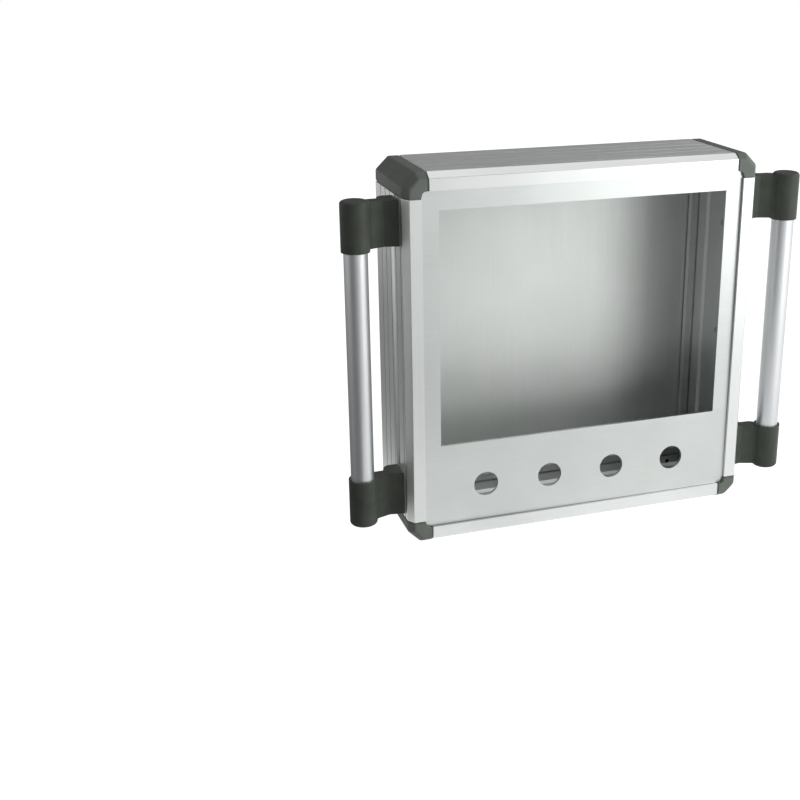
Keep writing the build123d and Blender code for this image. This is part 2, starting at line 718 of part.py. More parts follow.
def upper_bracket():
    """Upper bracket of the right-hand handle: base block, neck and a socket closed on top."""
    low = BOX_HEIGHT - BRACKET_FROM_END - SOCKET_HEIGHT
    wall_x = BOX_WIDTH / 2
    plane = Plane(origin=(wall_x, at_depth(0), low + NECK_OPEN_INSET), x_dir=(1, 0, 0), z_dir=(0, 0, 1))
    body = extrude(plane * bracket_outline(), amount=SOCKET_HEIGHT - NECK_OPEN_INSET - NECK_CLOSED_INSET)
    level_edges = body.faces().filter_by(Axis.Z).edges()
    body = fillet(level_edges.filter_by(lambda edge: (edge @ 0.5).X > wall_x + 1), BRACKET_EDGE_ROUND)
    socket_plane = Plane(origin=(tube_x("right"), at_depth(TUBE_DEPTH), low))
    socket = extrude(socket_plane * Circle(SOCKET_DIAMETER / 2), amount=SOCKET_HEIGHT)
    body += fillet(socket.faces().sort_by(Axis.Z)[-1].edges(), SOCKET_ROUND)
    bore = socket_plane * Circle(TUBE_DIAMETER / 2 + SOCKET_CLEARANCE)
    body -= extrude(bore, amount=SOCKET_HEIGHT - SOCKET_FLOOR)
    middle = bracket_heights()[1]
    for height in (middle - HANDLE_SCREW_SPACING / 2, middle + HANDLE_SCREW_SPACING / 2):
        body -= handle_screw_bar("right", height)
    return body - tube_screw("right", middle)


def handle_screw_bar(side, z):
    """Round bar of a handle screw's shank, from the wall's inner face outwards."""
    sign = handle_sign(side)
    start = sign * (BOX_WIDTH / 2 - WALL)
    plane = Plane(origin=(start, at_depth(HANDLE_SCREW_DEPTH), z), x_dir=(0, 1, 0), z_dir=(sign, 0, 0))
    return extrude(plane * Circle(HANDLE_SCREW_DIAMETER / 2), amount=HANDLE_SCREW_GRIP)


def handle_screw(side, z):
    """Pan-head screw through the wall into a handle bracket."""
    sign = handle_sign(side)
    start = sign * (BOX_WIDTH / 2 - WALL)
    plane = Plane(origin=(start, at_depth(HANDLE_SCREW_DEPTH), z), x_dir=(0, 1, 0), z_dir=(-sign, 0, 0))
    head = extrude(plane * Circle(HANDLE_SCREW_HEAD / 2), amount=HANDLE_SCREW_HEAD_HEIGHT)
    rim = head.faces().sort_by(Axis.X)[-1 if sign < 0 else 0].edges()
    return chamfer(rim, HANDLE_SCREW_HEAD_CHAMFER) + handle_screw_bar(side, z)


def tube_screw(side, z):
    """Headless screw through the back of a socket and the wall of its tube."""
    start = TUBE_DEPTH + TUBE_DIAMETER / 2 - TUBE_WALL
    return front_disc(SET_SCREW_DIAMETER / 2, tube_x(side), z, start, TUBE_SCREW_LENGTH)


def brackets():
    """The four handle brackets, mirrored from the upper right-hand one."""
    upper_right = upper_bracket()
    lower_right = mirror(upper_right, about=Plane(origin=(0, 0, BOX_HEIGHT / 2), z_dir=(0, 0, 1)))
    return {
        "handle_bracket_right_top": upper_right,
        "handle_bracket_right_bottom": lower_right,
        "handle_bracket_left_top": mirror(upper_right, about=Plane.YZ),
        "handle_bracket_left_bottom": mirror(lower_right, about=Plane.YZ),
    }


def build_parts():
    """Every piece by its node name; a group of like fasteners is one compound."""
    parts = {}
    for side in ("left", "top", "right", "bottom"):
        parts[f"profile_{side}"] = frame_length(side)
    for before, after in (("left", "top"), ("top", "right"), ("right", "bottom"), ("bottom", "left")):
        height = "top" if "top" in (before, after) else "bottom"
        width = "left" if "left" in (before, after) else "right"
        parts[f"corner_{height}_{width}"] = corner_piece(before, after)
    parts["front_plate"] = front_plate()
    parts["front_gasket"] = front_gasket()
    parts["plate_clamps"] = [plate_clamp(side, along) for side, along in clamp_positions()]
    parts["clamp_nuts"] = [clamp_nut(side, along) for side, along in clamp_positions()]
    parts["corner_screws_front"], parts["corner_screws_rear"] = set_screws()
    parts["rear_door"] = rear_door()
    parts["door_gasket"] = door_gasket()
    for level, middle in zip(("lower", "upper"), hinge_heights()):
        frame_leaf, door_leaf, pin = hinge(middle)
        parts[f"hinge_frame_leaf_{level}"] = frame_leaf
        parts[f"hinge_door_leaf_{level}"] = door_leaf
        parts[f"hinge_pin_{level}"] = pin
    frame_places = hinge_screw_places(FRAME_SCREW_FROM_FACE)
    door_places = hinge_screw_places(HINGE_AXIS_FROM_FACE + DOOR_SCREW_FROM_AXIS)
    parts["hinge_screws_frame"] = [hinge_screw(x, z) for x, z in frame_places]
    parts["hinge_screws_door"] = [hinge_screw(x, z) for x, z in door_places]
    for level, z in zip(("lower", "upper"), latch_heights()):
        parts[f"latch_housing_{level}"] = latch_housing(z)
        parts[f"latch_nut_{level}"] = latch_nut(z)
        parts[f"latch_core_{level}"] = latch_core(z)
        parts[f"latch_cam_{level}"] = latch_cam(z)
        parts[f"latch_cam_screw_{level}"] = cam_screw(z)
    parts.update(brackets())
    for side in ("left", "right"):
        parts[f"handle_tube_{side}"] = handle_tube(side)
        parts[f"handle_screws_{side}"] = [handle_screw(side, z) for z in handle_screw_heights()]
        parts[f"tube_screws_{side}"] = [tube_screw(side, z) for z in bracket_heights()]
    return parts


def main():
    """Write one STEP file for each node."""
    os.makedirs("parts", exist_ok=True)
    for name, shape in build_parts().items():
        if isinstance(shape, list):
            shape = Compound(children=[Solid(piece.solid().wrapped) for piece in shape])
        export_step(shape, f"parts/{name}.step")


if __name__ == "__main__":
    main()
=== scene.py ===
"""Looks of a touch screen enclosure: an extruded aluminium frame with moulded corners, a brushed front
plate, grab handles and a hinged rear door. Everything is in metres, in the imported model's frame, except
where a name ends in mm."""
import json
import logging
import math
from abc import ABC, abstractmethod
from dataclasses import dataclass, field
from enum import Enum

import bmesh
import bpy
from mathutils import Matrix, Vector


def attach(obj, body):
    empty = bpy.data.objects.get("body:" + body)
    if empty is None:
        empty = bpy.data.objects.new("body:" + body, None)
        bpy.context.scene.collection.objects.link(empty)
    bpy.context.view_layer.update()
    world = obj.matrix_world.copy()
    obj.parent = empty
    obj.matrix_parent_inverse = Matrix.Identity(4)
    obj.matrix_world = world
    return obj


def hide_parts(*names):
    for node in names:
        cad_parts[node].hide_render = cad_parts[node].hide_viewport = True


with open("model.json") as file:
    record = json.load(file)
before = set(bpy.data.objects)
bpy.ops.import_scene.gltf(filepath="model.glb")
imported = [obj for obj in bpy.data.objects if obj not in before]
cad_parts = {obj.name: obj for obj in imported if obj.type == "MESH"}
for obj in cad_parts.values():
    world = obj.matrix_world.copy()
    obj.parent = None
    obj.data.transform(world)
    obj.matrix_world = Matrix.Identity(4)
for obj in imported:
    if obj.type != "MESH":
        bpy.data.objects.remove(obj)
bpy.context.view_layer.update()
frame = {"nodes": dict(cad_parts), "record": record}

LOG = logging.getLogger("enclosure")
MM = 0.001
WHITE = (1.0, 1.0, 1.0, 1.0)

Pair = tuple[float, float]
Point = tuple[float, float, float]

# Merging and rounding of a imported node's copy
MERGE_DISTANCE = 0.002 * MM
FLAT_ANGLE = math.radians(0.2)
SHARP_ANGLE = math.radians(12)

# The middle range of a noise, where nearly all its values lie
NOISE_SPAN = {"From Min": 0.3, "From Max": 0.7}

# Finer octaves of each kind of noise
LINE_DETAIL = 3.0
GRAIN_DETAIL = 4.0
CLOUD_DETAIL = 3.0
PATCH_DETAIL = 2.0

# Weight of a drawn line's finer octaves, which makes it streaky
LINE_STREAKS = 0.6

# Turn that stands a flat plane up to face the front
UPRIGHT = Matrix.Rotation(math.radians(90), 4, "X")

# Socket numbers of the Mix node when it mixes colours
MIX_FACTOR = 0
MIX_FIRST = 6
MIX_SECOND = 7
MIX_RESULT = 2

# Heights by which the record names the pieces of the frame and of the door
FRAME_LEVELS = ("top", "bottom")
DOOR_LEVELS = ("lower", "upper")


class Direction(Enum):
    """Row axis along which a die line or a brush stroke runs."""

    X = 0
    Z = 2


class Side(Enum):
    """Side of the enclosure, seen from the front."""

    LEFT = "left"
    RIGHT = "right"


def linear(colour: str) -> tuple[float, float, float, float]:
    """Turn an sRGB hex colour to linear light.

    Args:
        colour: six hex digits, such as "c8cbc9".

    Returns:
        Linear red, green and blue, and an alpha of 1.
    """
    levels = []
    for start in (0, 2, 4):
        level = int(colour[start:start + 2], 16) / 255
        levels.append(level / 12.92 if level <= 0.04045 else ((level + 0.055) / 1.055) ** 2.4)
    return (levels[0], levels[1], levels[2], 1.0)


def add_node(
    tree: bpy.types.NodeTree, kind: str, inputs: dict | None = None, **settings
) -> bpy.types.Node:
    """Add one shader node with its settings, constants and links.

    Args:
        tree: node tree that takes the node.
        kind: Blender's type name of the node.
        inputs: socket name or number to a constant, or to an output socket to link from.
        **settings: attributes of the node itself.

    Returns:
        The new node.
    """
    added = tree.nodes.new(kind)
    for name, value in settings.items():
        setattr(added, name, value)
    for socket, value in (inputs or {}).items():
        if isinstance(value, bpy.types.NodeSocket):
            tree.links.new(value, added.inputs[socket])
        else:
            added.inputs[socket].default_value = value
    return added


def new_material(name: str) -> tuple[bpy.types.Material, bpy.types.NodeTree]:
    """Make a material with an empty node tree.

    Args:
        name: name of the material.

    Returns:
        The material and its node tree.
    """
    material = bpy.data.materials.new(name)
    material.use_nodes = True
    material.node_tree.nodes.clear()
    return material, material.node_tree


@dataclass(frozen=True)
class DrawnAluminium:
    """Extruded, rolled or brushed aluminium under a thin clear layer.

    Die lines or brush strokes run along one axis. They blur a highlight across themselves, and wide soft
    patches keep a long face from looking painted. line_mm is the distance from line to line, stretch says
    how many times longer than wide a line is, and relief_mm is its depth.
    """

    name: str
    light: str
    dark: str
    along: Direction
    roughness: float
    roughness_spread: float
    line_mm: float
    stretch: float
    relief_mm: float
    patch_mm: float = 60.0

    def build(self) -> bpy.types.Material:
        """Return the material of this finish."""
        material, tree = new_material(self.name)
        place = add_node(tree, "ShaderNodeTexCoord").outputs["Object"]
        across = 1 / (self.line_mm * MM)
        scale = [across, across, across]
        scale[self.along.value] = across / self.stretch
        drawn = add_node(tree, "ShaderNodeMapping", {"Vector": place, "Scale": scale}).outputs[0]
        lines = add_node(
            tree,
            "ShaderNodeTexNoise",
            {"Vector": drawn, "Scale": 1.0, "Detail": LINE_DETAIL, "Roughness": LINE_STREAKS},
        ).outputs["Fac"]
        patches = add_node(
            tree,
            "ShaderNodeTexNoise",
            {"Vector": place, "Scale": 1 / (self.patch_mm * MM), "Detail": PATCH_DETAIL},
        ).outputs["Fac"]
        both = add_node(tree, "ShaderNodeMath", {0: lines, 1: patches}, operation="ADD").outputs[0]
        mean = add_node(tree, "ShaderNodeMath", {0: both, 1: 0.5}, operation="MULTIPLY").outputs[0]
        share = add_node(tree, "ShaderNodeMapRange", {"Value": mean, **NOISE_SPAN}).outputs[0]
        colour = add_node(
            tree,
            "ShaderNodeMix",
            {MIX_FACTOR: share, MIX_FIRST: linear(self.dark), MIX_SECOND: linear(self.light)},
            data_type="RGBA",
        ).outputs[MIX_RESULT]
        low = self.roughness - self.roughness_spread
        high = self.roughness + self.roughness_spread
        roughness = add_node(
            tree, "ShaderNodeMapRange", {"Value": lines, **NOISE_SPAN, "To Min": low, "To Max": high}
        ).outputs[0]
        relief = add_node(
            tree, "ShaderNodeBump", {"Height": lines, "Distance": self.relief_mm * MM, "Strength": 1.0}
        ).outputs[0]
        shader = add_node(
            tree,
            "ShaderNodeBsdfPrincipled",
            {"Base Color": colour, "Roughness": roughness, "Metallic": 1.0, "Normal": relief},
        )
        add_node(tree, "ShaderNodeOutputMaterial", {"Surface": shader.outputs[0]})
        return material


@dataclass(frozen=True)
class MouldedPlastic:
    """Glass-filled polyamide, moulded in a lightly eroded tool that leaves a fine matt grain.

    The grain of such a tool is about 0.1 mm wide, too fine for the render, so it is drawn 0.9 mm wide.
    """

    name: str
    light: str
    dark: str
    roughness: float
    roughness_spread: float = 0.06
    grain_mm: float = 0.9
    patch_mm: float = 18.0
    relief_mm: float = 0.02
    ior: float = 1.53
    shine: float = 0.16

    def build(self) -> bpy.types.Material:
        """Return the material of this finish."""
        material, tree = new_material(self.name)
        place = add_node(tree, "ShaderNodeTexCoord").outputs["Object"]
        grain = add_node(
            tree,
            "ShaderNodeTexNoise",
            {"Vector": place, "Scale": 1 / (self.grain_mm * MM), "Detail": GRAIN_DETAIL},
        ).outputs["Fac"]
        patches = add_node(
            tree,
            "ShaderNodeTexNoise",
            {"Vector": place, "Scale": 1 / (self.patch_mm * MM), "Detail": PATCH_DETAIL},
        ).outputs["Fac"]
        share = add_node(tree, "ShaderNodeMapRange", {"Value": patches, **NOISE_SPAN}).outputs[0]
        colour = add_node(
            tree,
            "ShaderNodeMix",
            {MIX_FACTOR: share, MIX_FIRST: linear(self.dark), MIX_SECOND: linear(self.light)},
            data_type="RGBA",
        ).outputs[MIX_RESULT]
        low = self.roughness - self.roughness_spread
        high = self.roughness + self.roughness_spread
        roughness = add_node(
            tree, "ShaderNodeMapRange", {"Value": grain, **NOISE_SPAN, "To Min": low, "To Max": high}
        ).outputs[0]
        relief = add_node(
            tree, "ShaderNodeBump", {"Height": grain, "Distance": self.relief_mm * MM, "Strength": 1.0}
        ).outputs[0]
        shader = add_node(
            tree,
            "ShaderNodeBsdfPrincipled",
            {
                "Base Color": colour,
                "Roughness": roughness,
                "IOR": self.ior,
                "Specular IOR Level": self.shine,
                "Normal": relief,
            },
        )
        add_node(tree, "ShaderNodeOutputMaterial", {"Surface": shader.outputs[0]})
        return material


@dataclass(frozen=True)
class FoamRubber:
    """Closed-cell foam rubber, cut from sheet, with a dull pitted skin."""

    name: str
    light: str
    dark: str
    roughness: float = 0.85
    cell_mm: float = 0.8
    relief_mm: float = 0.08
    ior: float = 1.5

    def build(self) -> bpy.types.Material:
        """Return the material of this finish."""
        material, tree = new_material(self.name)
        place = add_node(tree, "ShaderNodeTexCoord").outputs["Object"]
        cells = add_node(
            tree,
            "ShaderNodeTexNoise",
            {"Vector": place, "Scale": 1 / (self.cell_mm * MM), "Detail": GRAIN_DETAIL},
        ).outputs["Fac"]
        colour = add_node(
            tree,
            "ShaderNodeMix",
            {MIX_FACTOR: cells, MIX_FIRST: linear(self.dark), MIX_SECOND: linear(self.light)},
            data_type="RGBA",
        ).outputs[MIX_RESULT]
        relief = add_node(
            tree, "ShaderNodeBump", {"Height": cells, "Distance": self.relief_mm * MM, "Strength": 1.0}
        ).outputs[0]
        shader = add_node(
            tree,
            "ShaderNodeBsdfPrincipled",
            {"Base Color": colour, "Roughness": self.roughness, "IOR": self.ior, "Normal": relief},
        )
        add_node(tree, "ShaderNodeOutputMaterial", {"Surface": shader.outputs[0]})
        return material


@dataclass(frozen=True)
class PlatedMetal:
    """Zinc, chrome or black oxide on steel or on a casting, slightly clouded by its bath."""

    name: str
    light: str
    dark: str
    roughness: float
    roughness_spread: float = 0.04
    cloud_mm: float = 3.0

    def build(self) -> bpy.types.Material:
        """Return the material of this finish."""
        material, tree = new_material(self.name)
        place = add_node(tree, "ShaderNodeTexCoord").outputs["Object"]
        clouds = add_node(
            tree,
            "ShaderNodeTexNoise",
            {"Vector": place, "Scale": 1 / (self.cloud_mm * MM), "Detail": CLOUD_DETAIL},
        ).outputs["Fac"]
        share = add_node(tree, "ShaderNodeMapRange", {"Value": clouds, **NOISE_SPAN}).outputs[0]
        colour = add_node(
            tree,
            "ShaderNodeMix",
            {MIX_FACTOR: share, MIX_FIRST: linear(self.dark), MIX_SECOND: linear(self.light)},
            data_type="RGBA",
        ).outputs[MIX_RESULT]
        low = self.roughness - self.roughness_spread
        high = self.roughness + self.roughness_spread
        roughness = add_node(
            tree, "ShaderNodeMapRange", {"Value": clouds, **NOISE_SPAN, "To Min": low, "To Max": high}
        ).outputs[0]
        shader = add_node(
            tree,
            "ShaderNodeBsdfPrincipled",
            {"Base Color": colour, "Roughness": roughness, "Metallic": 1.0},
        )
        add_node(tree, "ShaderNodeOutputMaterial", {"Surface": shader.outputs[0]})
        return material


def anodised_extrusion(along: Direction) -> DrawnAluminium:
    """Finish of an extruded frame length: a soft satin sheen, with faint die lines along the length.

    Die lines are some 0.2 mm apart, too fine for the render, so they are drawn 0.8 mm apart.

    Args:
        along: axis of the length.

    Returns:
        The finish.
    """
    return DrawnAluminium(
        name=f"anodised_extrusion_{along.name.lower()}",
        light="e2e4e3",
        dark="d6d9d7",
        along=along,
        roughness=0.42,
        roughness_spread=0.04,
        line_mm=0.8,
        stretch=200.0,
        relief_mm=0.004,
    )


# Fine brush strokes across the plate draw the lights out upwards and downwards. Real strokes are 0.1 mm
# apart and are drawn 0.7 mm apart, so that they show.
BRUSHED_PLATE = DrawnAluminium(
    name="brushed_anodised_plate",
    light="d3d7d5",
    dark="c6cbc9",
    along=Direction.X,
    roughness=0.36,
    roughness_spread=0.05,
    line_mm=0.7,
    stretch=60.0,
    relief_mm=0.004,
)

# Sheet as the mill rolls it: a broad dull sheen with upright roll lines, drawn 1.2 mm apart to show.
MILL_FINISH_SHEET = DrawnAluminium(
    name="mill_finish_door",
    light="e1e4e2",
    dark="d6dad7",
    along=Direction.Z,
    roughness=0.56,
    roughness_spread=0.04,
    line_mm=1.2,
    stretch=80.0,
    relief_mm=0.004,
)

# Drawn tube, anodised: one soft bright band along its length, on a slightly blue grey.
ANODISED_TUBE = DrawnAluminium(
    name="anodised_tube",
    light="dcdee0",
    dark="d0d3d5",
    along=Direction.Z,
    roughness=0.42,
    roughness_spread=0.03,
    line_mm=0.6,
    stretch=200.0,
    relief_mm=0.003,
)

# Moulded corners: a matt green-grey whose facets differ in tone and not in shine.
CORNER_POLYAMIDE = MouldedPlastic("moulded_corner_polyamide", "949a93", "898f88", 0.5)

# Moulded brackets: a darker green-grey with a faint wide sheen on the round sockets.
BRACKET_POLYAMIDE = MouldedPlastic("moulded_bracket_polyamide", "61675e", "555a53", 0.42)

# Foam seals: thin black lines with no shine.
PLATE_SEAL = FoamRubber("foam_rubber_seal", "1c1d1c", "101110")
DOOR_SEAL = FoamRubber("foam_rubber_door_seal", "1c1d1c", "101110")

# Zinc plating: a light grey, a little cloudy, with soft glints on edges.
ZINC_CLAMP = PlatedMetal("zinc_plated_clamp", "b4b7b8", "9ea2a3", 0.34)
ZINC_HINGE = PlatedMetal("satin_zinc_hinge", "b9bcbd", "a3a7a8", 0.36)
ZINC_DOOR_SCREW = PlatedMetal("zinc_plated_screw", "b0b3b4", "989c9d", 0.3)
ZINC_HANDLE_SCREW = PlatedMetal("zinc_plated_handle_screw", "b0b3b4", "989c9d", 0.3)

# Satin chrome on cast zinc: the brightest metal, with clear reflections.
CHROME_LATCH = PlatedMetal("satin_chrome_latch", "c6c8c9", "b2b5b6", 0.2)

# Black steel: set screws that look like small dark dots.
BLACK_SET_SCREW = PlatedMetal("black_steel_set_screw", "55585a", "404345", 0.35)


def paint(thing: bpy.types.Object, material: bpy.types.Material) -> None:
    """Put one material on every face of an object.

    Args:
        thing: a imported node's object or a new piece.
        material: its finish.
    """
    for slot in thing.material_slots:
        slot.material = material
    if not thing.material_slots:
        thing.data.materials.append(material)
    LOG.info("%s is finished as %s", thing.name, material.name)


def paint_nodes(nodes: tuple[str, ...], material: bpy.types.Material) -> None:
    """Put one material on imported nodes.

    Args:
        nodes: names of the nodes.
        material: their finish.
    """
    for node in nodes:
        paint(frame["nodes"][node], material)


def body_carrying(node: str) -> str:
    """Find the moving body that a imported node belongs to.

    Args:
        node: name of the node.

    Returns:
        Name of the body.
    """
    bodies = frame["record"]["behaviour"]["bodies"]
    return next(body for body, nodes in bodies.items() if node in nodes)


def whole_copy(node: str) -> bmesh.types.BMesh:
    """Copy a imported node's loose triangles into one closed shape with flat faces.

    Args:
        node: name of the node.

    Returns:
        The merged copy.
    """
    shape = bmesh.new()
    shape.from_mesh(frame["nodes"][node].data)
    bmesh.ops.remove_doubles(shape, verts=shape.verts, dist=MERGE_DISTANCE)
    bmesh.ops.dissolve_limit(shape, angle_limit=FLAT_ANGLE, verts=shape.verts, edges=shape.edges)
    return shape


def stand_in(shape: bmesh.types.BMesh, node: str) -> bpy.types.Object:
    """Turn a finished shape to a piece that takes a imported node's place.

    Args:
        shape: the shape, in the row frame; it is freed.
        node: node that it stands for.

    Returns:
        The new piece.
    """
    mesh = bpy.data.meshes.new(f"{node}_finished")
    shape.to_mesh(mesh)
    shape.free()
    piece = bpy.data.objects.new(f"{node}_finished", mesh)
    bpy.context.scene.collection.objects.link(piece)
    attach(piece, body_carrying(node))
    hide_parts(node)
    LOG.info("%s is remade as %s", node, piece.name)
    return piece


def outer_faces(shape: bmesh.types.BMesh) -> set[bmesh.types.BMFace]:
    """Find the faces of a shape that nothing of it stands in front of.

    Args:
        shape: the shape to search.

    Returns:
        Its outermost faces.
    """
    points = [vert.co.copy() for vert in shape.verts]
    outside = set()
    for face in shape.faces:
        level = face.normal.dot(face.calc_center_median())
        if max(face.normal.dot(point) for point in points) < level + MERGE_DISTANCE:
            outside.add(face)
    return outside


def soft_edged(node: str, radius: float, segments: int) -> bpy.types.Object:
    """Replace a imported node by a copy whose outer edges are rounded, as a die or a mould leaves them.

    Args:
        node: name of the node.
        radius: width of the rounding in metres.
        segments: facets across the rounding.

    Returns:
        The new piece.
    """
    shape = whole_copy(node)
    outside = outer_faces(shape)
    edges = [
        edge
        for edge in shape.edges
        if len(edge.link_faces) == 2
        and all(face in outside for face in edge.link_faces)
        and edge.calc_face_angle() > SHARP_ANGLE
    ]
    rounded = bmesh.ops.bevel(
        shape,
        geom=edges,
        offset=radius,
        offset_type="OFFSET",
        affect="EDGES",
        segments=segments,
        profile=0.5,
        material=-1,
        clamp_overlap=False,
    )
    for face in rounded["faces"]:
        face.smooth = True
    return stand_in(shape, node)


def solid_boxes(node: str) -> list[tuple[Vector, Vector]]:
    """Measure each separate solid in a packed group of fasteners.

    Args:
        node: name of the group's node.

    Returns:
        Lowest and highest corner of each solid.
    """
    shape = whole_copy(node)
    left = set(shape.verts)
    boxes = []
    while left:
        group = [left.pop()]
        for vert in group:
            for edge in vert.link_edges:
                other = edge.other_vert(vert)
                if other in left:
                    left.remove(other)
                    group.append(other)
        lows = Vector([min(vert.co[axis] for vert in group) for axis in range(3)])
        highs = Vector([max(vert.co[axis] for vert in group) for axis in range(3)])
        boxes.append((lows, highs))
    shape.free()
    return boxes


class Key(Enum):
    """Outline of the recess that takes the tool."""

    HEXAGON = "hexagon"
    CROSS = "cross"


@dataclass(frozen=True)
class Screw:
    """Turned screw with the recess for its tool.

    Half the outline goes from the head's rim down to the point, as (radius, height) in millimetres, the
    head's top being at height 0. The arms of a cross recess are arm_share of its width from their middle
    line to their edge.
    """

    outline_mm: tuple[Pair, ...]
    key: Key
    key_width_mm: float
    key_depth_mm: float
    steps: int = 48
    arm_share: float = 0.17

    def key_radius(self, angle: float) -> float:
        """Find how far the recess reaches in one direction.

        Args:
            angle: direction about the screw's axis, in radians.

        Returns:
            Distance of the recess's edge from the axis, in metres.
        """
        half = self.key_width_mm * MM / 2
        if self.key is Key.HEXAGON:
            sector = math.pi / 3
            return half / math.cos(angle % sector - sector / 2)
        quarter = math.pi / 2
        turn = abs((angle + quarter / 2) % quarter - quarter / 2)
        arm = self.key_width_mm * MM * self.arm_share
        # Near an arm's middle line its end sets the reach, and the sine is kept from nearing nought.
        smallest_sine = arm / half / 2
        return min(half / math.cos(turn), arm / max(math.sin(turn), smallest_sine))

    def build(self) -> bpy.types.Mesh:
        """Return the screw's mesh, with its head's top at the origin and its head up along Z."""
        shape = bmesh.new()
        outline = ((self.key_width_mm / 2, 0.0), *self.outline_mm)
        corners = [shape.verts.new((radius * MM, 0.0, height * MM)) for radius, height in outline]
        edges = [shape.edges.new(pair) for pair in zip(corners, corners[1:])]
        bmesh.ops.spin(
            shape,
            geom=corners + edges,
            cent=(0, 0, 0),
            axis=(0, 0, 1),
            angle=2 * math.pi,
            steps=self.steps,
            use_merge=True,
        )
        bmesh.ops.remove_doubles(shape, verts=shape.verts, dist=MERGE_DISTANCE)
        ring = [edge for edge in shape.edges if edge.is_boundary]
        for vert in {vert for edge in ring for vert in edge.verts}:
            angle = math.atan2(vert.co.y, vert.co.x)
            radius = self.key_radius(angle)
            vert.co.x = radius * math.cos(angle)
            vert.co.y = radius * math.sin(angle)
        sunk = bmesh.ops.extrude_edge_only(shape, edges=ring)["geom"]
        lowered = [item for item in sunk if isinstance(item, bmesh.types.BMVert)]
        bmesh.ops.translate(shape, verts=lowered, vec=(0, 0, -self.key_depth_mm * MM))
        bmesh.ops.holes_fill(shape, edges=[edge for edge in shape.edges if edge.is_boundary])
        bmesh.ops.recalc_face_normals(shape, faces=shape.faces)
        mesh = bpy.data.meshes.new("one_screw")
        shape.to_mesh(mesh)
        shape.free()
        return mesh


def screws_in_place(node: str, screw: Screw, facing: Vector) -> bpy.types.Object:
    """Put a detailed screw in the place of each solid of a packed group.

    Args:
        node: name of the group's node.
        screw: the screw to repeat.
        facing: direction in which the heads look, along one axis.

    Returns:
        The new piece with all the screws.
    """
    single = screw.build()
    turn = facing.to_track_quat("Z", "Y").to_matrix().to_4x4()
    group = bmesh.new()
    for low, high in solid_boxes(node):
        middle = (low + high) / 2
        reach = (high - low) / 2
        head = middle + Vector([facing[axis] * reach[axis] for axis in range(3)])
        before = len(group.verts)
        group.from_mesh(single)
        group.verts.ensure_lookup_table()
        bmesh.ops.transform(group, matrix=Matrix.Translation(head) @ turn, verts=group.verts[before:])
    bpy.data.meshes.remove(single)
    return stand_in(group, node)


class Assembly(ABC):
    """Sub-assembly of the enclosure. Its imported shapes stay, unless it builds pieces for some of them."""

    def build(self) -> None:
        """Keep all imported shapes."""

    @abstractmethod
    def dress(self) -> None:
        """Give every piece its finish."""


@dataclass
class FrameAssembly(Assembly):
    """Four extruded lengths, their four moulded corner pieces and the set screws in them."""

    extrusion_edge: float = 0.35 * MM
    extrusion_segments: int = 2
    corner_edge: float = 1.3 * MM
    corner_segments: int = 4
    set_screw: Screw = Screw(
        outline_mm=((1.8, 0.0), (2.0, -0.2), (2.0, -2.5), (1.7, -2.7), (0.0, -2.7)),
        key=Key.HEXAGON,
        key_width_mm=2.0,
        key_depth_mm=1.6,
    )
    lying: list[bpy.types.Object] = field(default_factory=list)
    standing: list[bpy.types.Object] = field(default_factory=list)
    corners: list[bpy.types.Object] = field(default_factory=list)
    set_screws: list[bpy.types.Object] = field(default_factory=list)

    def build(self) -> None:
        """Soften the edges of extrusions and corners, and cut the set screws' recesses."""
        sides = [side.value for side in Side]
        self.lying = [self.softened_length(level) for level in FRAME_LEVELS]
        self.standing = [self.softened_length(side) for side in sides]
        self.corners = [
            soft_edged(f"corner_{level}_{side}", self.corner_edge, self.corner_segments)
            for level in FRAME_LEVELS
            for side in sides
        ]
        self.set_screws = [
            screws_in_place("corner_screws_front", self.set_screw, Vector((0, 1, 0))),
            screws_in_place("corner_screws_rear", self.set_screw, Vector((0, -1, 0))),
        ]

    def softened_length(self, place: str) -> bpy.types.Object:
        """Return the extruded length at one place of the frame, with softened edges."""
        return soft_edged(f"profile_{place}", self.extrusion_edge, self.extrusion_segments)

    def dress(self) -> None:
        """Finish the extrusions, the corner pieces and their set screws."""
        for pieces, finish in (
            (self.lying, anodised_extrusion(Direction.X)),
            (self.standing, anodised_extrusion(Direction.Z)),
            (self.corners, CORNER_POLYAMIDE),
            (self.set_screws, BLACK_SET_SCREW),
        ):
            material = finish.build()
            for piece in pieces:
                paint(piece, material)


class FrontPanel(Assembly):
    """Front plate with its seal, claws and nuts."""

    def dress(self) -> None:
        """Finish the plate, its seal and its fixings."""
        paint_nodes(("front_plate",), BRUSHED_PLATE.build())
        paint_nodes(("front_gasket",), PLATE_SEAL.build())
        paint_nodes(("plate_clamps", "clamp_nuts"), ZINC_CLAMP.build())


